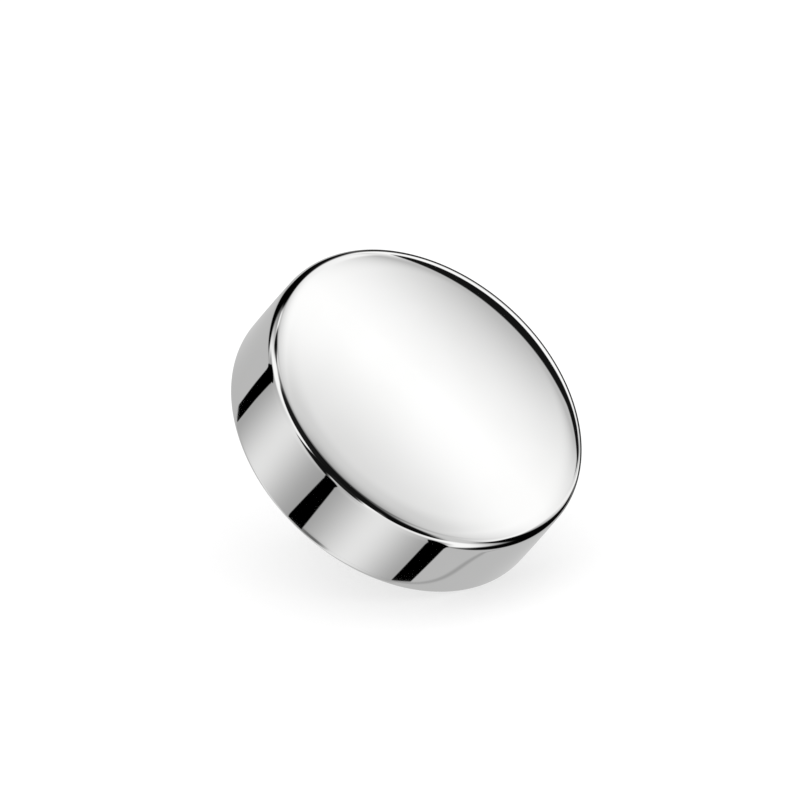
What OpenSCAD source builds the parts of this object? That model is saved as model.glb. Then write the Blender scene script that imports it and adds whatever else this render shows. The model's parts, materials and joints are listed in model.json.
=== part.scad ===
// Threaded disc top for body jewellery: a solid metal disc with a shallow domed face and a threaded
// post on its back, turned from one bar. It lies as it would when put down loose, leaning on the low
// side of its back edge and on the tip of its post. +Z is up, the face looks up and towards -Y, and
// the origin is on the surface it lies on, under the middle of its outline. Sizes in millimetres.

/* [Disc] */
// Diameter of the disc
disc_d = 5; // [3.5:0.5:8]
// Thickness of the disc, from its flat back to the top of its dome
disc_h = 1.42; // [1.2:0.02:2]
// Radius of the sphere that the shallow dome of the face is part of
dome_r = 22; // [15:0.5:40]
// Radius of the soft shoulder that leads from the dome into the rolled edge
shoulder_r = 1.2; // [0.8:0.1:3]
// Width of the rim from the end of the dome to the wall, shoulder and rolled edge together
shoulder_w = 0.28; // [0.22:0.02:0.4]
// Radius of the rolled edge round the face
face_edge_r = 0.15; // [0.08:0.01:0.2]
// Radius of the rolled edge round the back
back_edge_r = 0.09; // [0.05:0.01:0.2]

/* [Post] */
// Length of the post, from the back of the disc to its tip
post_l = 1.84; // [1.6:0.02:3]
// Outside diameter of the thread, and of the plain neck above it
thread_d = 1.2; // [1:0.05:1.6]
// Distance from one turn of the thread to the next
pitch = 0.25; // [0.2:0.01:0.35]
// Length of the plain neck, from the back of the disc to the thread
neck_l = 0.28; // [0.2:0.02:0.6]
// Size of the small flare where the neck runs into the disc
flare = 0.04; // [0.02:0.01:0.08]

/* [Hidden] */

// Curves of the turned shape, and of the large circles that dome and shoulder are cut from
$fn = 96;
dome_fn = 1440;
shoulder_fn = 720;

disc_r = disc_d / 2;
thread_r = thread_d / 2;

// Dome, shoulder and rolled edge run into each other. Where two of their circles meet they share the
// tangent, so the smaller circle's centre lies on the line from that point to the larger one's centre.
dome_z = disc_h - dome_r;
dome_end_x = disc_r - shoulder_w;
shoulder_x = dome_end_x * (dome_r - shoulder_r) / dome_r;
shoulder_z = dome_z + sqrt(pow(dome_r - shoulder_r, 2) - pow(shoulder_x, 2));
edge_x = disc_r - face_edge_r;
edge_z = shoulder_z + sqrt(pow(shoulder_r - face_edge_r, 2) - pow(edge_x - shoulder_x, 2));
shoulder_end_x = shoulder_x + (edge_x - shoulder_x) * shoulder_r / (shoulder_r - face_edge_r);

// The centre of the rolled edge of the back
back_x = disc_r - back_edge_r;

// A 60 degree thread: its depth is 0.54 of the pitch, its crest an eighth and its root a quarter
thread_depth = 0.54 * pitch;
root_r = thread_r - thread_depth;
crest_share = 1 / 8;
root_share = 1 / 4;
// Sides round the thread, rows of points for each turn, and how far it is let into neck and tip
thread_sides = 24;
rows_per_turn = 12;
thread_lap = 0.05;

// The rounded tip is a cap of a ball that is a little wider than the thread
tip_ball_r = 1.03 * thread_r;
tip_l = 0.6 * thread_r;
tip_ball_z = tip_ball_r - post_l;

// How far the disc's axis leans from upright: the surface is the straight line that touches the back
// edge's circle on the low side and the tip's ball. Both lie at the same height above it when
//     back_x * sin(lean) - (back_edge_r - tip_ball_z) * cos(lean) = tip_ball_r - back_edge_r
rise = back_edge_r - tip_ball_z;
lean = atan2(rise, back_x) + asin((tip_ball_r - back_edge_r) / norm([rise, back_x]));

// Where the leaning shape meets the surface, and how far it reaches in front and behind
low_z = tip_ball_z * cos(lean) - tip_ball_r;
front_y = -edge_x * cos(lean) - edge_z * sin(lean) - face_edge_r;
rear_y = back_x * cos(lean) - back_edge_r * sin(lean) + back_edge_r;

// One half of the disc's section, right of its axis, with its flat back at height 0
module disc_section() {
    // under the dome
    intersection() {
        translate([0, dome_z]) circle(r = dome_r, $fn = dome_fn);
        translate([0, edge_z]) square([dome_end_x, disc_h]);
    }
    // under the soft shoulder
    intersection() {
        translate([shoulder_x, shoulder_z]) circle(r = shoulder_r, $fn = shoulder_fn);
        translate([dome_end_x, edge_z]) square([shoulder_end_x - dome_end_x, disc_h]);
    }
    // rolled edge of the face
    intersection() {
        translate([edge_x, edge_z]) circle(r = face_edge_r);
        translate([shoulder_end_x, edge_z]) square(face_edge_r);
    }
    // the part with the straight wall
    translate([0, back_edge_r]) square([disc_r, edge_z - back_edge_r]);
    // flat back and its rolled edge
    square([back_x, back_edge_r]);
    intersection() {
        translate([back_x, back_edge_r]) circle(r = back_edge_r);
        translate([back_x, 0]) square(back_edge_r);
    }
}

module disc() {
    rotate_extrude() disc_section();
}

// Plain neck under the disc, with a small flare where it meets the back
module neck() {
    translate([0, 0, -neck_l]) cylinder(r = thread_r, h = neck_l);
    translate([0, 0, -flare]) cylinder(r1 = thread_r, r2 = thread_r + flare, h = flare);
}

// Height of the thread over its root, from 0 to 1, at a share s of one turn
function ridge(s) =
    let (from_crest = abs(2 * (s - floor(s)) - 1))
    min(1, max(0, (1 - root_share - from_crest) / (1 - root_share - crest_share)));

// Right-hand thread between two heights. It rises from its root over the first turn at each end.
module thread(low, high) {
    rows = ceil((high - low) / pitch * rows_per_turn);
    sides = thread_sides;
    heights = [for (row = [0:rows]) low + (high - low) * row / rows];
    function fade(z) = min(1, (z - low) / pitch, (high - z) / pitch);
    points = [
        for (z = heights, side = [0:sides - 1])
        let (r = root_r + thread_depth * fade(z) * ridge(z / pitch - side / sides))
        [r * cos(360 * side / sides), r * sin(360 * side / sides), z]
    ];
    walls = [
        for (row = [0:rows - 1], side = [0:sides - 1])
        let (a = row * sides + side, b = row * sides + (side + 1) % sides)
        each [[a, b + sides, b], [a, a + sides, b + sides]]
    ];
    bottom = [for (side = [0:sides - 1]) side];
    top = [for (side = [sides - 1:-1:0]) rows * sides + side];
    polyhedron(points, concat(walls, [bottom, top]));
}

// Rounded tip
module tip() {
    intersection() {
        translate([0, 0, tip_ball_z]) sphere(r = tip_ball_r);
        translate([0, 0, -post_l]) cylinder(r = 2 * tip_ball_r, h = tip_l);
    }
}

module post() {
    neck();
    thread(tip_l - post_l - thread_lap, thread_lap - neck_l);
    tip();
}

// The whole piece is one solid, laid down as it rests
module disc_top() {
    color("silver")
    translate([0, -(front_y + rear_y) / 2, -low_z])
    rotate([lean, 0, 0])
    union() {
        disc();
        post();
    }
}

disc_top();
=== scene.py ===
# %% [markdown]
# # Threaded disc top
# The object is one small turned piece of steel, 5 mm across: a solid disc with a shallow domed
# face, a rolled edge, a straight wall, and a short threaded post on its back. It is mirror bright,
# so nearly all that an eye sees of it is the studio around it. This lesson draws the outline,
# builds a lathe of geometry nodes, mixes the finish and turns the piece. Then it sets up the
# camera and the floor, and last it builds the studio, which takes the longest.

# %% Load the frame
import json
import math

import bpy
from mathutils import Matrix, Vector


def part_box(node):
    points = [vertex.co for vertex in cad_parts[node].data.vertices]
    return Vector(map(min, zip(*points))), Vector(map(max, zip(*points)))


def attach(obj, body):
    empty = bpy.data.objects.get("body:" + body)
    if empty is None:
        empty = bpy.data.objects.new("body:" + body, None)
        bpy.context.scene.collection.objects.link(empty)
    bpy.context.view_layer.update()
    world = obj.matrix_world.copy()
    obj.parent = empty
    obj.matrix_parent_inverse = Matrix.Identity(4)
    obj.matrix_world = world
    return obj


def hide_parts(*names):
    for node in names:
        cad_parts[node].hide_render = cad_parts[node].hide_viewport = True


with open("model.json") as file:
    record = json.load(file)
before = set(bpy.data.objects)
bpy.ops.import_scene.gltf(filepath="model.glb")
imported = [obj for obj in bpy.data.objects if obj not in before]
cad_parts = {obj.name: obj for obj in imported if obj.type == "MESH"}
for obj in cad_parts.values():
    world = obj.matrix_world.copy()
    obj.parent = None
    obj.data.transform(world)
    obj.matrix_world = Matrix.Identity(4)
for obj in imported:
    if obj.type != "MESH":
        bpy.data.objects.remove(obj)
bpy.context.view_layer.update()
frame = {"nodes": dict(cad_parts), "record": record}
MM = 0.001

# %% [markdown]
# ## Where the piece lies
# The frame says where everything is. The two mounts in its record give the axis of the post and
# the plane of the disc's back, and the solid gives how far the dome and the tip reach along that
# axis. Reading these sizes, and not typing them again, keeps the bright piece and the solid
# together when a size is changed.

# %% Read the axis and the main sizes
NODE = "disc_top"
mounts = {m["name"]: m for m in frame["record"]["mounts"]}
post_mount = mounts["post"]
back_mount = mounts["disc_back"]
axis = -Vector(post_mount["axis"]).normalized()
post_point = Vector(post_mount["pos_m"])
back_point = Vector(back_mount["pos_m"])
back_centre = post_point + axis * (back_point - post_point).dot(axis)

low_corner, high_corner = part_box(NODE)
reach = [(v.co - back_centre).dot(axis) / MM for v in frame["nodes"][NODE].data.vertices]
DISC_R = (high_corner.x - low_corner.x) / 2 / MM
DISC_H = max(reach)
POST_L = -min(reach)
THREAD_R = post_mount["dims"]["r_mm"]
NECK_L = post_mount["dims"]["length_mm"]
lean = math.degrees(axis.angle(Vector((0, 0, 1))))
print(f"disc {2 * DISC_R:.3f} x {DISC_H:.3f} mm, post {POST_L:.3f} mm, lean {lean:.2f} degrees")

# %% [markdown]
# ## The outline
# A lathe makes a piece from one line: the distance from the axis at each height. Here the line
# runs from the middle of the face, over the dome, round the edge, down the wall, along the flat
# back and down the post to its tip. It could be drawn by hand as a curve, but a hand-drawn curve
# has small waves, and a mirror shows each of them. So it is worked out from the sizes of the
# turner's drawing, with straight lines and arcs that share their tangents where they meet.
#
# In two places the line follows the buffing wheel and not the drawing. The wheel takes a little
# more off beside an edge, so the wall gets a crown of one degree to each side, five thousandths
# of a millimetre deep. And the wheel eases the shoulder into the dome: over the last third of a
# millimetre before the rolled edge the slope grows slowly at first, and then faster.

# %% Sizes of the outline, in millimetres and degrees
DOME_R = 22.0
SHOULDER_W = 0.33
SHOULDER_TURN = 13.9
FACE_EDGE_R = 0.15
WALL_CROWN = 1.0
BACK_EDGE_R = 0.09
FLARE = 0.04
PITCH = 0.25
THREAD_DEPTH = 0.54 * PITCH
ROOT_R = THREAD_R - THREAD_DEPTH
TIP_BALL_R = 1.03 * THREAD_R
TIP_L = 0.6 * THREAD_R
CORNER_R = 0.015
print(f"thread {THREAD_DEPTH:.3f} mm deep, on a core {2 * ROOT_R:.3f} mm across")

# %% The shoulder, between the dome and the rolled edge
SHOULDER_STEPS = 30
dome_z = DISC_H - DOME_R


def shoulder_line(end_x):
    """Points from the dome out to end_x. The slope leaves the dome's slowly, then grows faster."""
    x = end_x - SHOULDER_W
    points = [(x, dome_z + math.sqrt(DOME_R ** 2 - x ** 2))]
    step = SHOULDER_W / SHOULDER_STEPS
    extra_turn = math.radians(SHOULDER_TURN) - math.asin(end_x / DOME_R)
    for number in range(SHOULDER_STEPS):
        share = (number + 0.5) / SHOULDER_STEPS
        slope = math.asin((points[-1][0] + step / 2) / DOME_R) + extra_turn * share ** 2
        points.append((points[-1][0] + step, points[-1][1] - step * math.tan(slope)))
    return points


# %% Fit the wall's crown between the two rolled edges
# The circles of the outline have their centres at x from the axis and z from the back. The crown
# and the edges lean on each other, so their sizes are settled in a few rounds.
SETTLING_ROUNDS = 4
crown = math.radians(WALL_CROWN)
edge_turn = math.radians(SHOULDER_TURN)
wall_inset = 0.0
for _ in range(SETTLING_ROUNDS):
    edge_x = DISC_R - wall_inset - FACE_EDGE_R * math.cos(crown)
    shoulder = shoulder_line(edge_x + FACE_EDGE_R * math.sin(edge_turn))
    edge_z = shoulder[-1][1] - FACE_EDGE_R * math.cos(edge_turn)
    wall_top = edge_z + FACE_EDGE_R * math.sin(crown)
    wall_foot = BACK_EDGE_R * (1 - math.sin(crown))
    wall_r = (wall_top - wall_foot) / 2 / math.sin(crown)
    wall_inset = wall_r * (1 - math.cos(crown))
wall_middle = (wall_top + wall_foot) / 2
back_edge_x = DISC_R - wall_inset - BACK_EDGE_R * math.cos(crown)
DOME_TURN = math.degrees(math.asin(shoulder[0][0] / DOME_R))
print(f"the surface turns {DOME_TURN:.2f} degrees over the dome, {SHOULDER_TURN:.2f} at the edge")
print(f"the wall's ends stand back by {wall_inset:.4f} mm")

# %% Arcs and straight runs
def arc(centre_x, centre_z, radius, start, stop, steps):
    """Points on a circle, from one slope to another. Slope 0 faces along the axis, 90 outwards."""
    slopes = [math.radians(start + (stop - start) * i / steps) for i in range(steps + 1)]
    return [(centre_x + radius * math.sin(s), centre_z + radius * math.cos(s)) for s in slopes]


def straight(start, stop, steps):
    """Points on a line, close together near both of its ends."""
    shares = [(1 - math.cos(math.pi * i / steps)) / 2 for i in range(steps + 1)]
    return [tuple(a + (b - a) * share for a, b in zip(start, stop)) for share in shares]


def even(start, stop, steps):
    """Points on a line, evenly spaced."""
    return [tuple(a + (b - a) * i / steps for a, b in zip(start, stop)) for i in range(steps + 1)]


print("a quarter circle in three steps:", [f"{x:.2f} {z:.2f}" for x, z in arc(0, 0, 1, 0, 90, 3)])

# %% The disc's part of the outline
# The wall faces 90 degrees from the axis, less its crown where it meets the rolled edge.
DOME_STEPS = 40
FACE_EDGE_STEPS = 36
WALL_STEPS = 24
BACK_EDGE_STEPS = 20
BACK_STEPS = 20
wall_start = 90 - WALL_CROWN
wall_stop = 90 + WALL_CROWN

disc_line = arc(0, dome_z, DOME_R, 0, DOME_TURN, DOME_STEPS)
disc_line += shoulder
disc_line += arc(edge_x, edge_z, FACE_EDGE_R, SHOULDER_TURN, wall_start, FACE_EDGE_STEPS)
disc_line += arc(DISC_R - wall_r, wall_middle, wall_r, wall_start, wall_stop, WALL_STEPS)
disc_line += arc(back_edge_x, BACK_EDGE_R, BACK_EDGE_R, wall_stop, 180, BACK_EDGE_STEPS)
disc_line += straight((back_edge_x, 0), (THREAD_R + FLARE, 0), BACK_STEPS)
print("points from the face to the post:", len(disc_line))

# %% The post's part of the outline
neck_end = -NECK_L
tip_top = TIP_L - POST_L
tip_ball_z = TIP_BALL_R - POST_L
tip_rim = math.sqrt(TIP_BALL_R ** 2 - (tip_top - tip_ball_z) ** 2)
tip_slope = math.degrees(math.acos((tip_top - tip_ball_z) / TIP_BALL_R))
FLARE_STEPS = 3
NECK_STEPS = 8
CORNER_STEPS = 4
LEDGE_STEPS = 3
ROWS_PER_TURN = 24
TIP_STEPS = 26
thread_rows = math.ceil(ROWS_PER_TURN * (neck_end - tip_top) / PITCH)

post_line = even((THREAD_R + FLARE, 0), (THREAD_R, -FLARE), FLARE_STEPS)
post_line += even((THREAD_R, -FLARE), (THREAD_R, neck_end + CORNER_R), NECK_STEPS)
post_line += arc(THREAD_R - CORNER_R, neck_end + CORNER_R, CORNER_R, 90, 180, CORNER_STEPS)
post_line += even((THREAD_R - CORNER_R, neck_end), (ROOT_R, neck_end), LEDGE_STEPS)
post_line += even((ROOT_R, neck_end), (ROOT_R, tip_top), thread_rows)
post_line += even((ROOT_R, tip_top), (tip_rim, tip_top), LEDGE_STEPS)
post_line += arc(0, tip_ball_z, TIP_BALL_R, tip_slope, 180, TIP_STEPS)
print("points from the back to the tip:", len(post_line), "of them on the thread:", thread_rows)

# %% Put the outline together as a mesh of points
SAME_POINT = 1e-5


def without_repeats(points):
    """The same points, with none so close to the one before that it would count as the same."""
    kept = [points[0]]
    for point in points[1:]:
        if math.dist(point, kept[-1]) > SAME_POINT:
            kept.append(point)
    return kept


outline = without_repeats(disc_line + post_line)
outline[0] = (0.0, outline[0][1])
outline[-1] = (0.0, outline[-1][1])
blank = bpy.data.meshes.new("outline")
blank.from_pydata([(x, 0.0, z) for x, z in outline], [], [])
print("points in the outline:", len(outline))

# %% [markdown]
# ## Wiring node trees
# Every tree below is wired by the same helpers. The first adds a node and fills its inputs, from
# numbers or from the sockets of other nodes. The second does sums, so that a formula in a tree
# reads nearly as it would on paper. The third turns a stretch of numbers into a share between 0
# and 1, and the last gives a tree its named inputs and outputs. Further down, the tree at work is
# always called t, and the sockets of its own inputs are called g.

# %% Helpers for node trees
def add(tree, kind, inputs=None, **settings):
    """Adds a node. inputs maps a socket's name or number to a value or to another node's output."""
    node = tree.nodes.new(kind)
    for name, value in settings.items():
        setattr(node, name, value)
    for name, value in (inputs or {}).items():
        if isinstance(value, bpy.types.NodeSocket):
            tree.links.new(value, node.inputs[name])
        else:
            node.inputs[name].default_value = value
    return node


def calc(tree, operation, a, b=0.0, c=0.0, clamp=False):
    """The result of one sum, as a socket."""
    node = add(tree, "ShaderNodeMath", {0: a, 1: b, 2: c}, operation=operation, use_clamp=clamp)
    return node.outputs[0]


def ramp_between(tree, value, start, stop, smooth=True):
    """0 where value is at start, 1 where it is at stop, and in between on the way."""
    kind = "SMOOTHSTEP" if smooth else "LINEAR"
    node = add(
        tree, "ShaderNodeMapRange",
        {"Value": value, "From Min": start, "From Max": stop},
        interpolation_type=kind, clamp=True,
    )
    return node.outputs["Result"]


def sockets(tree, ins, outs):
    """Gives a tree its named inputs, as (name, kind, value), and its named outputs."""
    for name, kind, value in ins:
        socket = tree.interface.new_socket(name, in_out="INPUT", socket_type=kind)
        if value is not None:
            socket.default_value = value
    for name, kind in outs:
        tree.interface.new_socket(name, in_out="OUTPUT", socket_type=kind)
    return tree.nodes.new("NodeGroupInput"), tree.nodes.new("NodeGroupOutput")


FLOAT = "NodeSocketFloat"
INTEGER = "NodeSocketInt"
VECTOR = "NodeSocketVector"
GEOMETRY = "NodeSocketGeometry"
MATERIAL = "NodeSocketMaterial"
print("four helpers and five kinds of socket are ready")

# %% [markdown]
# ## The rule of the thread
# A screw thread is one ridge that climbs by its pitch on every turn round the post. Along the
# post it repeats like a wave: a narrow flat crest, two flanks at 60 degrees to each other and a
# flat root. So the surface's distance from the axis follows from two things alone, the height and
# the share of a turn. The ridge could also be swept round the post as a strip of its own, but two
# skins that cut through each other make a poor mesh. So this group only holds the rule, and the
# lathe moves its points by it. The ridge fades in over its first turn and out over its last, as a
# die leaves it.

# %% Node group for the thread's radius
CREST_SHARE = 1 / 8
ROOT_SHARE = 1 / 4
THREAD_INPUTS = [
    ("Height", FLOAT, 0.0),
    ("Turn", FLOAT, 0.0),
    ("Pitch", FLOAT, PITCH),
    ("Root radius", FLOAT, ROOT_R),
    ("Depth", FLOAT, THREAD_DEPTH),
    ("Crest share", FLOAT, CREST_SHARE),
    ("Root share", FLOAT, ROOT_SHARE),
    ("Low end", FLOAT, 0.0),
    ("High end", FLOAT, 0.0),
]
thread_rule = bpy.data.node_groups.new("Thread rule", "GeometryNodeTree")
given, result = sockets(thread_rule, THREAD_INPUTS, [("Radius", FLOAT)])
g = given.outputs
t = thread_rule
climb = calc(t, "SUBTRACT", calc(t, "DIVIDE", g["Height"], g["Pitch"]), g["Turn"])
from_crest = calc(t, "ABSOLUTE", calc(t, "MULTIPLY_ADD", calc(t, "FRACT", climb), 2.0, -1.0))
root_edge = calc(t, "SUBTRACT", 1.0, g["Root share"])
ridge = ramp_between(t, from_crest, root_edge, g["Crest share"], smooth=False)
from_low = calc(t, "DIVIDE", calc(t, "SUBTRACT", g["Height"], g["Low end"]), g["Pitch"])
from_high = calc(t, "DIVIDE", calc(t, "SUBTRACT", g["High end"], g["Height"]), g["Pitch"])
fade = calc(t, "MINIMUM", from_low, from_high, clamp=True)
lift = calc(t, "MULTIPLY", calc(t, "MULTIPLY", ridge, fade), g["Depth"])
t.links.new(calc(t, "ADD", g["Root radius"], lift), result.inputs["Radius"])
print("thread rule:", len(thread_rule.nodes), "nodes")

# %% [markdown]
# ## The lathe
# The whole piece follows one rule, so geometry nodes turn it. A flat grid is made with one column
# for each side and one row for each point of the outline. Every point of the grid looks up its
# row in the outline, which gives its distance from the axis and its height, and is carried round
# the axis by its column. On the post the thread's rule takes over where it stands further out.
# Merging points that lie on each other then closes the seam and the two poles. A Screw modifier
# would turn the disc as well, but not with the thread in the same skin.

# %% Inputs of the lathe
SIDES = 240
LATHE_INPUTS = [
    ("Outline", GEOMETRY, None),
    ("Sides", INTEGER, SIDES),
    ("Thread low end", FLOAT, 0.0),
    ("Thread high end", FLOAT, 0.0),
    ("Pitch", FLOAT, PITCH),
    ("Unit", FLOAT, MM),
    ("Finish", MATERIAL, None),
]
lathe = bpy.data.node_groups.new("Lathe", "GeometryNodeTree")
given, result = sockets(lathe, LATHE_INPUTS, [("Piece", GEOMETRY)])
print("inputs of the lathe:", ", ".join(name for name, kind, value in LATHE_INPUTS))

# %% Lathe: a grid whose points look up their rows in the outline
g = given.outputs
t = lathe
size = add(t, "GeometryNodeAttributeDomainSize", {"Geometry": g["Outline"]}, component="MESH")
rows = size.outputs["Point Count"]
columns = calc(t, "ADD", g["Sides"], 1)
grid = add(t, "GeometryNodeMeshGrid", {
    "Size X": 1.0, "Size Y": 1.0, "Vertices X": columns, "Vertices Y": rows,
})
place = add(t, "GeometryNodeInputPosition")
flat = add(t, "ShaderNodeSeparateXYZ", {0: place.outputs[0]})
turn = calc(t, "ADD", flat.outputs["X"], 0.5)
row_share = calc(t, "SUBTRACT", 0.5, flat.outputs["Y"])
row = calc(t, "ROUND", calc(t, "MULTIPLY", row_share, calc(t, "SUBTRACT", rows, 1)))
looked_up = add(
    t, "GeometryNodeSampleIndex",
    {"Geometry": g["Outline"], "Value": place.outputs[0], "Index": row},
    data_type="FLOAT_VECTOR", domain="POINT",
)
drawn = add(t, "ShaderNodeSeparateXYZ", {0: looked_up.outputs["Value"]})
height = drawn.outputs["Z"]
print("lathe so far:", len(t.nodes), "nodes")

# %% Lathe: the thread takes over where it stands further out
threaded = add(t, "GeometryNodeGroup", {
    "Height": height,
    "Turn": turn,
    "Pitch": g["Pitch"],
    "Low end": g["Thread low end"],
    "High end": g["Thread high end"],
}, node_tree=thread_rule)
above = calc(t, "GREATER_THAN", height, g["Thread low end"])
below = calc(t, "LESS_THAN", height, g["Thread high end"])
on_thread = calc(t, "MULTIPLY", above, below)
thread_radius = calc(t, "MULTIPLY", threaded.outputs["Radius"], on_thread)
radius = calc(t, "MAXIMUM", drawn.outputs["X"], thread_radius)
print("lathe so far:", len(t.nodes), "nodes")

# %% Lathe: carry the points round the axis
angle = calc(t, "MULTIPLY", turn, math.tau)
turned_place = add(t, "ShaderNodeCombineXYZ", {
    "X": calc(t, "MULTIPLY", radius, calc(t, "COSINE", angle)),
    "Y": calc(t, "MULTIPLY", radius, calc(t, "SINE", angle)),
    "Z": height,
})
in_metres = add(
    t, "ShaderNodeVectorMath",
    {0: turned_place.outputs[0], "Scale": g["Unit"]}, operation="SCALE",
)
turned = add(t, "GeometryNodeSetPosition", {
    "Geometry": grid.outputs["Mesh"], "Position": in_metres.outputs[0],
})
print("lathe so far:", len(t.nodes), "nodes")

# %% Lathe: map, close, smooth and paint the skin
SEAM_GAP = 1e-7
mapped = add(
    t, "GeometryNodeStoreNamedAttribute",
    {"Geometry": turned.outputs[0], "Name": "UVMap", "Value": grid.outputs["UV Map"]},
    data_type="FLOAT2", domain="CORNER",
)
closed = add(t, "GeometryNodeMergeByDistance", {"Geometry": mapped.outputs[0], "Distance": SEAM_GAP})
smooth = add(t, "GeometryNodeSetShadeSmooth", {"Geometry": closed.outputs[0], "Shade Smooth": True})
real = add(t, "GeometryNodeRealizeInstances", {"Geometry": smooth.outputs[0]})
painted = add(t, "GeometryNodeSetMaterial", {"Geometry": real.outputs[0], "Material": g["Finish"]})
t.links.new(painted.outputs[0], result.inputs["Piece"])
print("lathe:", len(lathe.nodes), "nodes")

# %% [markdown]
# ## Measures for the finish
# A turned piece carries its making in rings round its axis. The rings, and the masks that tell
# the parts of the piece apart, need to know how far a point is from the axis and how high above
# the back. So one shader group works both out from the object's own coordinates. A pattern that
# reads these two numbers stays on the metal from every side.

# %% Shader group for height and distance from the axis
axis_measures = bpy.data.node_groups.new("Axis measures", "ShaderNodeTree")
given, result = sockets(
    axis_measures,
    [("Place", VECTOR, None), ("Centre", VECTOR, None), ("Axis", VECTOR, None)],
    [("Height", FLOAT), ("Radius", FLOAT)],
)
g = given.outputs
t = axis_measures
offset = add(t, "ShaderNodeVectorMath", {0: g["Place"], 1: g["Centre"]}, operation="SUBTRACT")
offset = offset.outputs["Vector"]
along = add(t, "ShaderNodeVectorMath", {0: offset, 1: g["Axis"]}, operation="DOT_PRODUCT")
along = along.outputs["Value"]
far = add(t, "ShaderNodeVectorMath", {0: offset}, operation="LENGTH").outputs["Value"]
squared = calc(t, "SUBTRACT", calc(t, "MULTIPLY", far, far), calc(t, "MULTIPLY", along, along))
across = calc(t, "SQRT", calc(t, "MAXIMUM", squared, 0.0))
t.links.new(calc(t, "DIVIDE", along, MM), result.inputs["Height"])
t.links.new(calc(t, "DIVIDE", across, MM), result.inputs["Radius"])
print("axis measures:", len(axis_measures.nodes), "nodes")

# %% [markdown]
# ## Tool rings
# Behind the disc, where no one looks once it is worn, the maker stops at a fine turned finish.
# The tool leaves rings a few hundredths of a millimetre apart, some deeper than others. A wave
# texture would draw rings too, but all alike. Noise along one dimension, the distance from the
# axis, makes each ring a little different from the next.

# %% Shader group for tool rings
tool_rings = bpy.data.node_groups.new("Tool rings", "ShaderNodeTree")
given, result = sockets(
    tool_rings,
    [("Distance", FLOAT, 0.0), ("Rings per mm", FLOAT, 24.0), ("Unevenness", FLOAT, 0.5)],
    [("Height", FLOAT), ("Wear", FLOAT)],
)
g = given.outputs
t = tool_rings
BROAD_RINGS_PER_MM = 3.0
WEAR_BETWEEN = (0.3, 0.7)
fine = add(t, "ShaderNodeTexNoise", {
    "W": calc(t, "MULTIPLY", g["Distance"], g["Rings per mm"]),
    "Scale": 1.0, "Detail": 2.0, "Roughness": g["Unevenness"],
}, noise_dimensions="1D")
broad = add(t, "ShaderNodeTexNoise", {
    "W": calc(t, "MULTIPLY", g["Distance"], BROAD_RINGS_PER_MM), "Scale": 1.0, "Detail": 1.0,
}, noise_dimensions="1D")
t.links.new(fine.outputs[0], result.inputs["Height"])
t.links.new(ramp_between(t, broad.outputs[0], *WEAR_BETWEEN), result.inputs["Wear"])
print("tool rings:", len(tool_rings.nodes), "nodes")

# %% [markdown]
# ## Polish
# Even a mirror finish isn't perfect close up. The buffing wheel leaves a very slight haze that
# comes and goes, and handling leaves a few hairlines. They could be cut as bumps, but bumps bend
# the reflections and make a mirror sparkle. So both only make it a trace less sharp: too little
# to blur a reflection, enough to keep the metal from looking like a drawing.

# %% Shader group for buffed metal
buffed = bpy.data.node_groups.new("Buffed metal", "ShaderNodeTree")
given, result = sockets(
    buffed,
    [("Place", VECTOR, None), ("Haze per mm", FLOAT, 0.6), ("Hairlines per mm", FLOAT, 2.0)],
    [("Haze", FLOAT), ("Hairlines", FLOAT)],
)
g = given.outputs
t = buffed
HAZE_BETWEEN = (0.35, 0.65)
in_mm = add(t, "ShaderNodeVectorMath", {0: g["Place"], "Scale": 1 / MM}, operation="SCALE")
in_mm = in_mm.outputs["Vector"]
haze = add(t, "ShaderNodeTexNoise", {"Vector": in_mm, "Scale": g["Haze per mm"], "Detail": 3.0})
t.links.new(ramp_between(t, haze.outputs[0], *HAZE_BETWEEN), result.inputs["Haze"])
print("buffed metal so far:", len(t.nodes), "nodes")

# %% Hairlines: the same noise three times, each stretched in another direction
HAIRLINE_STRETCH = (0.12, 1.0, 0.4)
HAIRLINE_TURNS = (20, 95, 150)
HAIRLINE_TILT = math.radians(35)
NOISE_PER_HAIRLINE = 6.0
# Noise is mostly near 0.5, so only its rare peaks become lines
PEAK_BETWEEN = (0.72, 0.8)
fineness = calc(t, "MULTIPLY", g["Hairlines per mm"], NOISE_PER_HAIRLINE)
masks = []
for degrees in HAIRLINE_TURNS:
    stretched = add(t, "ShaderNodeMapping", {
        "Vector": in_mm,
        "Rotation": (HAIRLINE_TILT, math.radians(degrees), math.radians(degrees)),
        "Scale": HAIRLINE_STRETCH,
    })
    streaks = add(t, "ShaderNodeTexNoise", {
        "Vector": stretched.outputs[0], "Scale": fineness, "Detail": 0.0,
    })
    masks.append(ramp_between(t, streaks.outputs[0], *PEAK_BETWEEN))
lines = calc(t, "MAXIMUM", calc(t, "MAXIMUM", masks[0], masks[1]), masks[2])
t.links.new(lines, result.inputs["Hairlines"])
print("buffed metal:", len(buffed.nodes), "nodes")

# %% [markdown]
# ## The metal
# Surgical steel polished to a mirror is a nearly white metal with a trace of warmth. It is fully
# metallic, and what changes over the piece is how sharp the mirror is: sharpest on the face and
# the wall, a little softer on the turned back and the cut thread, where rings and flanks break it
# up. The masks that tell these zones apart come from the two measures.

# %% Numbers of the finish
STEEL = (0.90, 0.90, 0.898, 1)
STEEL_HAZED = (0.88, 0.88, 0.876, 1)
ROUGH_POLISHED = 0.016
ROUGH_HAZE = 0.008
ROUGH_HAIRLINE = 0.012
ROUGH_TURNED = 0.13
ROUGH_THREAD = 0.16
LEAST_WEAR = 0.6
RING_DEPTH = 0.00006 * MM
# Heights above the disc's back, in millimetres, over which the turned finish sets in
BACK_SETS_IN = (0.06, 0.01)
POST_SETS_IN = (-0.02, -0.1)
print("roughness of the face", ROUGH_POLISHED, "and of the thread", ROUGH_POLISHED + ROUGH_THREAD)

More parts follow.
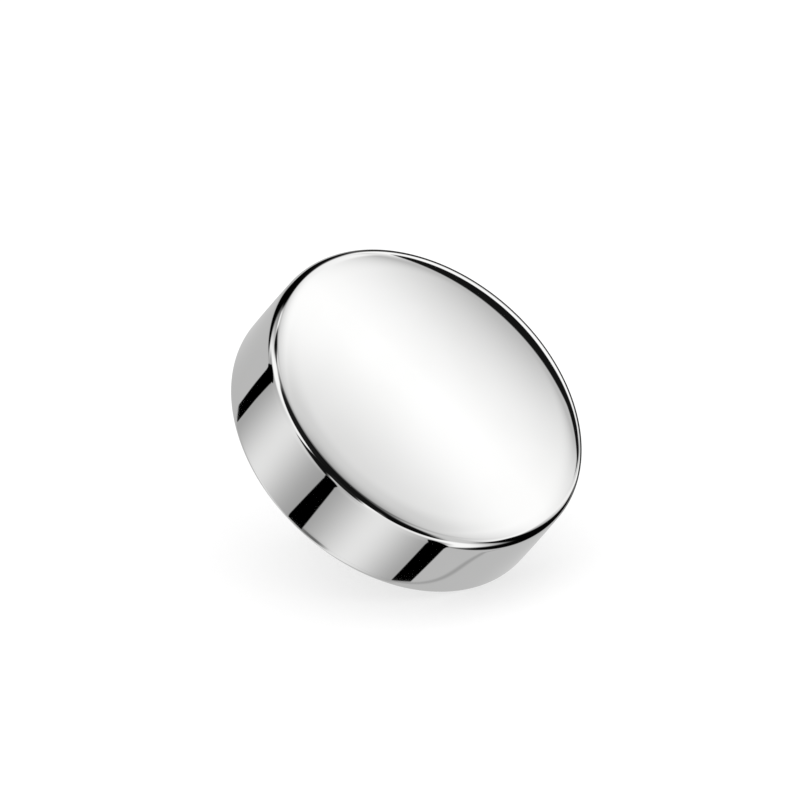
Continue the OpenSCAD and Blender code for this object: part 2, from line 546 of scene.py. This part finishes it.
# %% Material: where the back and the post are
steel = bpy.data.materials.new("mirror_steel")
steel.use_nodes = True
t = steel.node_tree
place = add(t, "ShaderNodeTexCoord").outputs["Object"]
measures = add(t, "ShaderNodeGroup", {
    "Place": place, "Centre": back_centre, "Axis": axis,
}, node_tree=axis_measures)
height = measures.outputs["Height"]
radius = measures.outputs["Radius"]
on_post = ramp_between(t, height, *POST_SETS_IN)
inside_edge = ramp_between(t, radius, DISC_R - BACK_EDGE_R, DISC_R - 2 * BACK_EDGE_R)
on_back = calc(t, "MULTIPLY", ramp_between(t, height, *BACK_SETS_IN), inside_edge)
print("nodes that find the back and the post:", len(t.nodes))

# %% Material: how soft the mirror is
polish = add(t, "ShaderNodeGroup", {"Place": place}, node_tree=buffed)
rings = add(t, "ShaderNodeGroup", {
    "Distance": calc(t, "ADD", radius, height),
}, node_tree=tool_rings)
soft = calc(t, "MULTIPLY", polish.outputs["Haze"], ROUGH_HAZE)
soft = calc(t, "MULTIPLY_ADD", polish.outputs["Hairlines"], ROUGH_HAIRLINE, soft)
soft = calc(t, "ADD", soft, ROUGH_POLISHED)
wear = calc(t, "MULTIPLY_ADD", rings.outputs["Wear"], 1 - LEAST_WEAR, LEAST_WEAR)
soft = calc(t, "MULTIPLY_ADD", calc(t, "MULTIPLY", on_back, wear), ROUGH_TURNED, soft)
soft = calc(t, "MULTIPLY_ADD", calc(t, "MULTIPLY", on_post, wear), ROUGH_THREAD, soft)
print("nodes with those for the softness:", len(t.nodes))

# %% Material: colour, tool marks and the shader
tint = add(t, "ShaderNodeMix", {
    "Factor": polish.outputs["Haze"], "A": STEEL, "B": STEEL_HAZED,
}, data_type="RGBA")
marks = calc(t, "MULTIPLY", rings.outputs["Height"], calc(t, "MAXIMUM", on_back, on_post))
bump = add(t, "ShaderNodeBump", {"Height": marks, "Distance": RING_DEPTH, "Strength": 1.0})
shader = t.nodes["Principled BSDF"]
t.links.new(tint.outputs["Result"], shader.inputs["Base Color"])
t.links.new(soft, shader.inputs["Roughness"])
t.links.new(bump.outputs["Normal"], shader.inputs["Normal"])
shader.inputs["Metallic"].default_value = 1.0
print("finish:", steel.name, "with", len(steel.node_tree.nodes), "nodes")

# %% [markdown]
# ## Turning the piece
# The tree is put on the outline as a modifier, its inputs are set by their identifiers, and the
# result is taken as a plain mesh. The thread laps a little into the neck and the tip, so that no
# gap shows at its ends. The mesh is then laid down as the solid lies: its own height axis along
# the axis of the frame, its back on the back's plane. The object could be turned instead, but
# then its own coordinates would lie otherwise than the frame's, and the finish reads those. So
# the place goes into the mesh, and the object stays at the origin.

# %% Run the lathe
def set_inputs(modifier, tree, values):
    """Sets a modifier's named inputs by the identifiers of the tree's sockets."""
    for item in tree.interface.items_tree:
        if item.item_type == "SOCKET" and item.in_out == "INPUT" and item.name in values:
            modifier[item.identifier] = values[item.name]


THREAD_LAP = 0.05
piece = bpy.data.objects.new("disc_top_steel", blank)
bpy.context.scene.collection.objects.link(piece)
machine = piece.modifiers.new("lathe", "NODES")
machine.node_group = lathe
set_inputs(machine, lathe, {
    "Sides": SIDES,
    "Thread low end": tip_top - THREAD_LAP,
    "Thread high end": neck_end + THREAD_LAP,
    "Pitch": PITCH,
    "Unit": MM,
    "Finish": steel,
})
depsgraph = bpy.context.evaluated_depsgraph_get()
turned_mesh = bpy.data.meshes.new_from_object(piece.evaluated_get(depsgraph))
piece.modifiers.remove(machine)
piece.data = turned_mesh
print("sides of the piece:", SIDES)

# %% Lay the mesh down as the solid lies
across_y = axis.cross(Vector((1, 0, 0)))
lay_down = Matrix((Vector((1, 0, 0)), across_y, axis)).transposed().to_4x4()
lay_down.translation = back_centre
turned_mesh.transform(lay_down)
turned_mesh.update()
triangles = sum(len(p.vertices) - 2 for p in turned_mesh.polygons)
print("turned piece:", len(turned_mesh.vertices), "points,", triangles, "triangles")

# %% Tie it to the frame
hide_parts(NODE)
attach(piece, "root")
print(piece.name, "replaces", NODE)

# %% [markdown]
# ## The camera
# The eye looks down at the lying piece from the front left, at 23 degrees above the floor, and
# sees the face at 46 degrees. The picture is nearly free of perspective, so the camera stands far
# away behind a long lens. Where the disc's middle falls in the picture is given in pixels of the
# 800 by 800 frame, and the camera is moved sideways until it falls there. The angles, the scale
# and that place were fitted to the outline of the disc in the photograph.

# %% Camera at the photograph's viewing angle
CAMERA_AZIMUTH = -47.96
CAMERA_ELEVATION = 23.09
CAMERA_DISTANCE = 0.4
FRAME_PIXELS = 800
PIXELS_PER_MM = 71.36
DISC_MIDDLE_PIXEL = (409.7, 416.8)

turn_z = math.radians(CAMERA_AZIMUTH)
tilt = math.radians(CAMERA_ELEVATION)
to_camera = Vector((
    math.sin(turn_z) * math.cos(tilt),
    -math.cos(turn_z) * math.cos(tilt),
    math.sin(tilt),
))
camera_right = Vector((0, 0, 1)).cross(to_camera).normalized()
camera_up = to_camera.cross(camera_right)
disc_middle = back_centre + axis * DISC_H / 2 * MM
right_by = (DISC_MIDDLE_PIXEL[0] - FRAME_PIXELS / 2) / PIXELS_PER_MM * MM
down_by = (DISC_MIDDLE_PIXEL[1] - FRAME_PIXELS / 2) / PIXELS_PER_MM * MM
aim = disc_middle - camera_right * right_by + camera_up * down_by

camera_data = bpy.data.cameras.new("camera")
camera = bpy.data.objects.new("camera", camera_data)
bpy.context.scene.collection.objects.link(camera)
view_width = FRAME_PIXELS / PIXELS_PER_MM * MM
camera_data.lens = camera_data.sensor_width * CAMERA_DISTANCE / view_width
camera_data.clip_start = 0.01
camera_data.clip_end = 4.0
camera_data.dof.use_dof = False
camera.location = aim + to_camera * CAMERA_DISTANCE
camera.rotation_euler = to_camera.to_track_quat("Z", "Y").to_euler()
bpy.context.scene.camera = camera
seen_at = math.degrees(axis.angle(to_camera))
print(f"lens {camera_data.lens:.0f} mm, the face is seen at {seen_at:.1f} degrees")

# %% [markdown]
# ## The floor
# A plain pale sheet under the piece. Pictures that are to end on pure white are often taken on
# milk glass with a lamp below it, which lifts the shadow that the piece throws. So part of this
# floor's white is its own light, and the rest is the soft light of the room. The metal doesn't
# show the floor: its reflections come from the studio alone, as if it stood on a thin stand.

# %% Floor
FLOOR_WHITE = (0.4, 0.4, 0.4, 1)
FLOOR_GLOW = 0.6


def pale_floor(size=2.0):
    """A flat sheet at height 0, size metres wide, which is no part of the piece."""
    half = size / 2
    sheet = bpy.data.meshes.new("floor")
    corners = [(-half, -half, 0), (half, -half, 0), (half, half, 0), (-half, half, 0)]
    sheet.from_pydata(corners, [], [(0, 1, 2, 3)])
    floor = bpy.data.objects.new("floor", sheet)
    bpy.context.scene.collection.objects.link(floor)
    material = bpy.data.materials.new("pale_floor")
    material.use_nodes = True
    shader = material.node_tree.nodes["Principled BSDF"]
    shader.inputs["Base Color"].default_value = FLOOR_WHITE
    shader.inputs["Emission Color"].default_value = (1.0, 1.0, 1.0, 1)
    shader.inputs["Emission Strength"].default_value = FLOOR_GLOW
    shader.inputs["Roughness"].default_value = 0.9
    shader.inputs["Specular IOR Level"].default_value = 0.0
    sheet.materials.append(material)
    floor.visible_glossy = False
    return floor


floor = pale_floor()
print("floor laid, with a glow of", FLOOR_GLOW)

# %% [markdown]
# ## The studio
# A mirror can't be lit like cloth: it has to be given something to show. The photographer of such
# a piece sets white sheets and black cards all round it. The face takes up one long soft light.
# The wall takes up two grey panels, each with a bright middle, and three narrow black bars beside
# and between them. The rolled edge squeezes everything else into fine lines. Sheets and cards
# could be hung round the piece as meshes, but each would hide a part of the next and shade the
# floor. Here the studio is painted on the world, where only reflections see it.
#
# Each card is a patch of a sphere in two angles measured from the disc's axis: the polar angle
# from the face's direction, and the azimuth round it, with 0 towards the camera. A card's middle
# and its half width are azimuths, it starts and stops at polar angles, and each side has its own
# softness, all in degrees. Its level is how bright it looks in the picture, from 0 to 1. Where
# the cards hang and how bright they are was read from the reflections in the photograph, and then
# changed round by round, until the render agreed with it.

# %% Base light: brightness by degrees from the face's direction, even beyond the last
BASE_LIGHT = [
    (0, 0.20), (5, 0.25), (13, 0.45), (20, 0.66), (30, 0.79), (40, 0.89), (46, 0.97), (60, 0.98),
]
print("steps of the base light:", len(BASE_LIGHT))

# %% The cards, in the order in which they are hung
CARD_DEFAULTS = {
    "middle": 0, "half": 10, "side_soft": 4, "level": 0,
    "pivot": 90, "lean": 0, "curl": 0, "bend": 0, "bend_to": 132, "spread": 0,
    "start": -20, "start_soft": 3, "start_bow": 0, "start_slant": 0,
    "stop": 200, "stop_soft": 3, "stop_bow": 0, "stop_slant": 0,
}


def card(name, **settings):
    """One card of the studio. What isn't said is taken from the defaults."""
    return {"name": name, **CARD_DEFAULTS, **settings}


CARDS = [
    # The ground that all other cards lie on
    card("low grey", half=400, start=110, start_soft=10, level=0.71),
    card("light from behind", middle=180, half=25, side_soft=70, start=134, start_soft=4,
         level=0.82),
    card("panel ground", middle=-13, half=80, side_soft=10, start=82, start_soft=16, level=0.605),
    # What the wall takes up
    card("left panel", middle=-44.2, half=21, side_soft=42, bend=-11, start=72, start_soft=20,
         level=0.872),
    card("right panel", middle=25.2, half=21, side_soft=42, bend=4, start=66, start_soft=14,
         level=0.88),
    card("middle gap", middle=0, half=8, side_soft=14, start=62, start_soft=10, stop=95,
         stop_soft=12, level=0.68),
    # Veils and shades at both sides, for the rolled edge
    card("right veil", middle=88, half=20, side_soft=14, start=20, start_soft=20, stop=60,
         stop_soft=14, level=0.775),
    card("left shade", middle=-125, half=18, side_soft=40, start=56, start_soft=8, stop=90,
         stop_soft=10, level=0.52),
    card("right shade", middle=114, half=20, side_soft=34, start=53, start_soft=8, stop=102,
         stop_soft=12, level=0.52),
    card("left rod veil", middle=-137, half=10, side_soft=18, start=35, start_soft=10, stop=48.5,
         stop_soft=5, level=0.66),
    card("left edge veil", middle=-146, half=11, side_soft=12, start=37, start_soft=8, stop=60,
         stop_soft=8, level=0.77),
    # The dark room on the camera's side, with a rod, a lens and its stand
    card("dark room high", middle=-19, half=82, side_soft=44, stop=44, stop_soft=14, level=0.1),
    card("dark room middle", middle=-12, half=38, side_soft=8, start=28, start_soft=20, stop=55,
         stop_soft=7, level=0.1),
    card("dark room left", middle=-57, half=28, side_soft=14, start=20, start_soft=20, stop=58,
         stop_soft=8, stop_bow=-0.015, level=0.12),
    card("dark room right", middle=47, half=21, side_soft=16, start=28, start_soft=16, stop=64,
         stop_soft=8, stop_bow=-0.009, level=0.07),
    card("left rod", middle=-116, half=13, side_soft=14, start=41.8, start_soft=5,
         start_slant=0.15, stop=53.7, stop_soft=5, stop_slant=0.45, level=0.08),
    card("lens tube", middle=-9.5, half=20, side_soft=10, start=45, stop=73.5, stop_soft=8,
         level=0.13),
    card("lens stand", middle=-28, half=15.5, side_soft=6, start=60, start_soft=8,
         start_slant=-1.7, stop=92.5, stop_soft=12, stop_slant=0.55, level=0.1),
    # The black bars before the wall, and the edge of a table
    card("middle bar foot", middle=3, half=10, side_soft=14, start=136.3, start_soft=0.6,
         stop=150, stop_soft=8, level=0.4),
    card("left bar", middle=-79.5, half=5.2, side_soft=1.2, bend=-16.6, bend_to=134,
         spread=-0.45, start=87.5, start_soft=10, start_bow=0.35, start_slant=2.0, stop=135.36,
         stop_soft=0.12, stop_slant=0.05),
    card("middle bar", middle=-9.1, half=5.35, side_soft=1.0, bend=-2, bend_to=136, spread=0.4,
         start=90, start_soft=10, start_bow=0.5, stop=139),
    card("right bar", middle=61.3, half=6.3, side_soft=1.2, bend=9.3, spread=-0.2, start=91,
         start_soft=10, start_bow=0.35, start_slant=2.0, stop=135.64, stop_soft=0.12,
         stop_slant=-0.032),
    card("table edge", middle=100, half=2.2, side_soft=4.4, pivot=134, lean=-5, curl=-4,
         start=131, stop=138, level=0.6),
    # Black flags on the far side
    card("left flag", middle=-140, half=11.5, side_soft=8, start=53, start_soft=7,
         start_bow=0.04, start_slant=0.25, stop=103.5, stop_soft=16, level=0.05),
    card("left flag side", middle=-152, half=7, side_soft=8, start=65, start_soft=34,
         start_slant=-1.3, stop=104, stop_soft=16, level=0.08),
    card("left flag foot", middle=-115.5, half=19, side_soft=14, start=77, start_soft=14,
         start_slant=1.1, stop=113.5, stop_soft=12, level=0.03),
    card("right flag", middle=125, half=14, side_soft=8, lean=0.45, start=50.8, start_soft=6,
         stop=112, stop_soft=10, level=0.05),
    card("right flag foot", middle=116, half=38, side_soft=20, start=78, start_soft=16,
         start_bow=0.0165, stop=117.5, stop_soft=14, stop_bow=-0.003, stop_slant=-0.3,
         level=0.04),
    card("far ring", middle=176, half=26, side_soft=8, start=77, start_soft=10, start_bow=0.018,
         start_slant=-0.36, stop=124, stop_soft=14, stop_bow=-0.012, stop_slant=-0.3,
         level=0.2),
]
print("cards behind the long light:", len(CARDS))

# %% The few things that hang before the long light
CARDS_BEFORE_LIGHT = [
    card("left glow", middle=197, half=2.5, side_soft=3, pivot=59, lean=-0.65, start=53,
         start_soft=4, stop=63, level=0.95),
    card("far veil", middle=157, half=6, side_soft=14, start=62, start_soft=36, stop=82,
         stop_soft=8, level=0.74),
    card("far rod", middle=160.5, half=2, side_soft=4, start=62.5, start_soft=8, stop=73,
         stop_soft=12, level=0.3),
    card("dark lens", middle=179.6, half=11.5, side_soft=3, start=58.35, start_soft=1.0,
         start_bow=0.045, start_slant=0.05, stop=67.4, stop_soft=1.4, stop_bow=-0.012, level=0.1),
    card("dark lens tail", middle=166, half=7, side_soft=3, start=61.3, start_soft=1,
         stop=66.8, stop_soft=2, stop_slant=0.1, level=0.1),
]
print("cards before the long light:", len(CARDS_BEFORE_LIGHT))

# %% [markdown]
# ## One card as a node group
# All cards are the same group with other numbers. It measures how far a direction is from the
# card's middle, fades at its four sides, and lays the card's brightness over what is below it.
#
# Bars that hang near the piece look bent and a little wider at one end, so a card's middle can
# move with the polar angle. Lean moves it evenly from its pivot on, and curl by the cube of the
# same way. Bend sets in at 90 degrees, slowly at first, and is done at the card's own bend_to.
# Spread makes the card wider or narrower, only over the few degrees that the wall shows. Each of
# its two ends can be bowed, or cut at a slant.

# %% Laying one brightness over another, and a soft edge
def overlay(t, below, level, cover):
    """Lays a brightness over another one, as far as it covers it."""
    return calc(t, "MULTIPLY_ADD", calc(t, "SUBTRACT", level, below), cover, below)


def soft_step(t, value, edge, softness):
    """Rises from 0 to 1 around an edge. A negative softness makes it fall instead."""
    half_soft = calc(t, "MULTIPLY", softness, 0.5)
    return ramp_between(
        t, value, calc(t, "SUBTRACT", edge, half_soft), calc(t, "ADD", edge, half_soft),
    )


# %% Studio card: inputs of the group
STUDIO_PLACE = [("Light below", FLOAT, 1.0), ("Polar", FLOAT, 0.0), ("Azimuth", FLOAT, 0.0)]
CARD_INPUTS = STUDIO_PLACE + [(name, FLOAT, value) for name, value in CARD_DEFAULTS.items()]

studio_card = bpy.data.node_groups.new("Studio card", "ShaderNodeTree")
given, result = sockets(studio_card, CARD_INPUTS, [("Light", FLOAT)])
print("numbers of one card:", ", ".join(CARD_DEFAULTS))

# %% Studio card: where its middle is
BEND_FROM = 90
g = given.outputs
t = studio_card
polar = g["Polar"]
beyond = calc(t, "SUBTRACT", polar, g["pivot"])
cubed = calc(t, "MULTIPLY", beyond, calc(t, "MULTIPLY", beyond, beyond))
bend_share = ramp_between(t, polar, BEND_FROM, g["bend_to"], smooth=False)
middle = calc(t, "MULTIPLY_ADD", g["lean"], beyond, g["middle"])
middle = calc(t, "MULTIPLY_ADD", g["curl"], cubed, middle)
middle = calc(t, "MULTIPLY_ADD", g["bend"], calc(t, "MULTIPLY", bend_share, bend_share), middle)
aside = calc(t, "WRAP", calc(t, "SUBTRACT", g["Azimuth"], middle), 180.0, -180.0)
print("one card so far:", len(t.nodes), "nodes")

# %% Studio card: its left and right sides
# The wall shows polar angles from a little below WALL_POLAR to a little above it
WALL_POLAR = 134
WALL_POLAR_HALF = 2.0
on_wall = calc(t, "SUBTRACT", polar, WALL_POLAR)
on_wall = calc(t, "MAXIMUM", calc(t, "MINIMUM", on_wall, WALL_POLAR_HALF), -WALL_POLAR_HALF)
half = calc(t, "MULTIPLY_ADD", g["spread"], on_wall, g["half"])
fall = calc(t, "MULTIPLY", g["side_soft"], -1.0)
side = soft_step(t, calc(t, "ABSOLUTE", aside), half, fall)
print("one card so far:", len(t.nodes), "nodes")

# %% Studio card: its two ends, and what it covers
aside_squared = calc(t, "MULTIPLY", aside, aside)
start = calc(t, "MULTIPLY_ADD", g["start_bow"], aside_squared, g["start"])
start = calc(t, "MULTIPLY_ADD", g["start_slant"], aside, start)
started = soft_step(t, polar, start, g["start_soft"])
stop = calc(t, "MULTIPLY_ADD", g["stop_bow"], aside_squared, g["stop"])
stop = calc(t, "MULTIPLY_ADD", g["stop_slant"], aside, stop)
ended = soft_step(t, polar, stop, calc(t, "MULTIPLY", g["stop_soft"], -1.0))
cover = calc(t, "MULTIPLY", side, calc(t, "MULTIPLY", started, ended))
t.links.new(overlay(t, g["Light below"], g["level"], cover), result.inputs["Light"])
print("one card:", len(studio_card.nodes), "nodes")

# %% [markdown]
# ## The long light over the face
# The dome spreads a cone of only 21 degrees over nearly the whole face, so this light decides how
# the face looks. It is a wide soft box with straight edges, so it is measured straight too: how
# many degrees a direction lies away from the camera, and how many across. It is brightest along a
# line that lies a little askew, and falls off to both sides of it. On the far side it falls ever
# faster. On the camera's side it falls in one soft step, and past that ever faster again. A list
# of levels could say the same, but a rule of a few numbers tells what the lamp does. Its numbers
# were chosen so that the fall follows the brightness readings of the face in the photograph.
# Another view or another lamp needs numbers of its own.
#
# Towards its left and right ends the fall is stretched, as the light of a long lamp spreads out
# at its ends. On the camera's side this sets in only a few degrees across, and on both sides it
# goes no further than a set share. In front of the far side hangs the dark lens, which the
# shoulder of the dome picks up as a black crescent.

# %% Numbers of the long light, in degrees
LONG_LIGHT_MIDDLE = 46
# The fall on the far side: for each degree, and for its cube, out to the reach
FAR_FALL = 0.011
FAR_FALL_CUBED = 0.00012
FAR_REACH = 11
# The soft step on the camera's side, and the fall past it
STEP_DOWN = 0.19
STEP_FROM = 1.0
STEP_TO = 15.5
NEAR_FALL = 0.006
NEAR_FALL_CUBED = 0.00005
NEAR_REACH = 33
LONG_LIGHT_HALF = 20
LONG_LIGHT_SIDE_SOFT = 15
LONG_LIGHT_NEAR = 20
LONG_LIGHT_NEAR_SOFT = 16
LONG_LIGHT_FAR = 62
LONG_LIGHT_FAR_SOFT = 6
LONG_LIGHT_FLARE_NEAR = 0.0027
LONG_LIGHT_FLARE_FROM = 5.5
LONG_LIGHT_FLARE_FAR = 0.0009
LONG_LIGHT_NARROWEST = 0.62
LONG_LIGHT_TURN = 0.08
print("long light: it falls over", NEAR_REACH, "degrees on the near side and", FAR_REACH, "on the far")

# %% A brightness that follows a list of levels
def light_ramp(t, value, points):
    """Brightness by degrees, as a colour ramp between points."""
    first = points[0][0]
    last = points[-1][0]
    share = ramp_between(t, value, first, last, smooth=False)
    ramp = add(t, "ShaderNodeValToRGB", {"Fac": share})
    elements = ramp.color_ramp.elements
    elements.remove(elements[-1])
    for number, (at, level) in enumerate(points):
        position = (at - first) / (last - first)
        stop_point = elements[0] if number == 0 else elements.new(position)
        stop_point.position = position
        stop_point.color = (level, level, level, 1)
    return add(t, "ShaderNodeSeparateColor", {0: ramp.outputs["Color"]}).outputs[0]


# %% Long light: how far from its middle line
long_light = bpy.data.node_groups.new("Long light", "ShaderNodeTree")
given, result = sockets(long_light, STUDIO_PLACE, [("Light", FLOAT)])
g = given.outputs
t = long_light
azimuth = calc(t, "RADIANS", g["Azimuth"])
beyond = calc(t, "MULTIPLY", g["Polar"], calc(t, "MULTIPLY", calc(t, "COSINE", azimuth), -1.0))
across = calc(t, "MULTIPLY", g["Polar"], calc(t, "SINE", azimuth))
from_line = calc(t, "SUBTRACT", beyond, LONG_LIGHT_MIDDLE)
from_line = calc(t, "MULTIPLY_ADD", across, LONG_LIGHT_TURN, from_line)
print("long light so far:", len(t.nodes), "nodes")

# %% Long light: stretch the fall towards both ends
# The stretch grows with the square of the way across, on the near side from FLARE_FROM on
is_near = calc(t, "LESS_THAN", from_line, 0.0)
outside = calc(t, "MULTIPLY_ADD", across, across, -LONG_LIGHT_FLARE_FROM ** 2)
flare_near = calc(t, "MULTIPLY", calc(t, "MAXIMUM", outside, 0.0), LONG_LIGHT_FLARE_NEAR)
flare_far = calc(t, "MULTIPLY", calc(t, "MULTIPLY", across, across), LONG_LIGHT_FLARE_FAR)
flare = overlay(t, flare_far, flare_near, is_near)
share_left = calc(t, "MAXIMUM", calc(t, "SUBTRACT", 1.0, flare), LONG_LIGHT_NARROWEST)
stretched = calc(t, "MULTIPLY", from_line, share_left)
print("long light so far:", len(t.nodes), "nodes")

# %% Long light: its fall on both sides of the line
def fall_from(t, distance, slope, cubed):
    """How much brightness is lost at a distance that is never below zero."""
    squared = calc(t, "MULTIPLY", distance, distance)
    bent = calc(t, "MULTIPLY", calc(t, "MULTIPLY", squared, distance), cubed)
    return calc(t, "MULTIPLY_ADD", distance, slope, bent)


far_by = calc(t, "MINIMUM", calc(t, "MAXIMUM", stretched, 0.0), FAR_REACH)
near_by = calc(t, "MAXIMUM", calc(t, "MULTIPLY", stretched, -1.0), 0.0)
near_by = calc(t, "MINIMUM", near_by, NEAR_REACH)
past_step = calc(t, "MAXIMUM", calc(t, "SUBTRACT", near_by, STEP_TO), 0.0)
level = calc(t, "SUBTRACT", 1.0, fall_from(t, far_by, FAR_FALL, FAR_FALL_CUBED))
level = calc(t, "SUBTRACT", level, fall_from(t, past_step, NEAR_FALL, NEAR_FALL_CUBED))
step = ramp_between(t, near_by, STEP_FROM, STEP_TO, smooth=True)
level = calc(t, "MULTIPLY_ADD", step, -STEP_DOWN, level)
print("long light so far:", len(t.nodes), "nodes")

# %% Long light: its four sides
side = soft_step(t, calc(t, "ABSOLUTE", across), LONG_LIGHT_HALF, -LONG_LIGHT_SIDE_SOFT)
near_end = soft_step(t, beyond, LONG_LIGHT_NEAR, LONG_LIGHT_NEAR_SOFT)
far_end = soft_step(t, beyond, LONG_LIGHT_FAR, -LONG_LIGHT_FAR_SOFT)
cover = calc(t, "MULTIPLY", side, calc(t, "MULTIPLY", near_end, far_end))
t.links.new(overlay(t, g["Light below"], level, cover), result.inputs["Light"])
print("long light:", len(long_light.nodes), "nodes")

# %% [markdown]
# ## Hanging the studio on the world
# The two angles come from the direction of a ray and three fixed directions: the disc's axis, the
# side of the disc that faces the camera, and the one across. The cards are then laid over each
# other. Levels are chosen as they should look in the picture, so they are brought to light with
# the usual power before the lamp's strength is set. Rays that come from the camera see plain
# white, and rays that come from the floor see an even soft light.

# %% World: the two angles of a ray
world = bpy.data.worlds.new("studio")
world.use_nodes = True
# The world looks different to each kind of ray, so none are aimed at it. They bounce into it
world.cycles.sampling_method = "NONE"
t = world.node_tree
t.nodes.clear()
toward = (to_camera - axis * to_camera.dot(axis)).normalized()
across = axis.cross(toward)
ray = add(t, "ShaderNodeTexCoord").outputs["Generated"]


def part(direction):
    """How much of the ray goes along a fixed direction."""
    node = add(t, "ShaderNodeVectorMath", {0: ray, 1: direction}, operation="DOT_PRODUCT")
    return node.outputs["Value"]


polar = calc(t, "DEGREES", calc(t, "ARCCOSINE", part(axis)))
azimuth = calc(t, "DEGREES", calc(t, "ARCTAN2", part(across), part(toward)))
print(f"the camera itself stands at polar angle {seen_at:.1f}")

# %% World: hang the cards
def hang(group, light, name="", **numbers):
    """Lays one more card over the light so far."""
    given_to_all = {"Light below": light, "Polar": polar, "Azimuth": azimuth}
    node = add(t, "ShaderNodeGroup", {**given_to_all, **numbers}, node_tree=group, label=name)
    return node.outputs["Light"]


light = light_ramp(t, polar, BASE_LIGHT)
for settings in CARDS:
    light = hang(studio_card, light, **settings)
light = hang(long_light, light, name="long light")
for settings in CARDS_BEFORE_LIGHT:
    light = hang(studio_card, light, **settings)
print("hung: a base light,", len(CARDS) + len(CARDS_BEFORE_LIGHT), "cards and the long light")

# %% World: reflections see the studio, all other rays see white
CARD_GAMMA = 2.2
REFLECTED_STRENGTH = 1.12
ROOM_STRENGTH = 1.28
SKY_WHITE = (1.0, 1.0, 1.0, 1)
STUDIO_TINT = (1.0, 1.0, 0.998, 1)
strength = calc(t, "POWER", calc(t, "MAXIMUM", light, 0.0), CARD_GAMMA)
strength = calc(t, "MULTIPLY", strength, REFLECTED_STRENGTH)
studio = add(t, "ShaderNodeBackground", {"Color": STUDIO_TINT, "Strength": strength})
path = add(t, "ShaderNodeLightPath")
plain = calc(t, "MULTIPLY_ADD", path.outputs["Is Camera Ray"], 1 - ROOM_STRENGTH, ROOM_STRENGTH)
room = add(t, "ShaderNodeBackground", {"Color": SKY_WHITE, "Strength": plain})
either = add(t, "ShaderNodeMixShader", {
    0: path.outputs["Is Glossy Ray"], 1: room.outputs[0], 2: studio.outputs[0],
})
add(t, "ShaderNodeOutputWorld", {"Surface": either.outputs[0]})

bpy.context.scene.world = world
bpy.context.scene.view_settings.view_transform = "Standard"
bpy.context.scene.view_settings.look = "None"
print("studio hung:", len(world.node_tree.nodes), "nodes in the world")
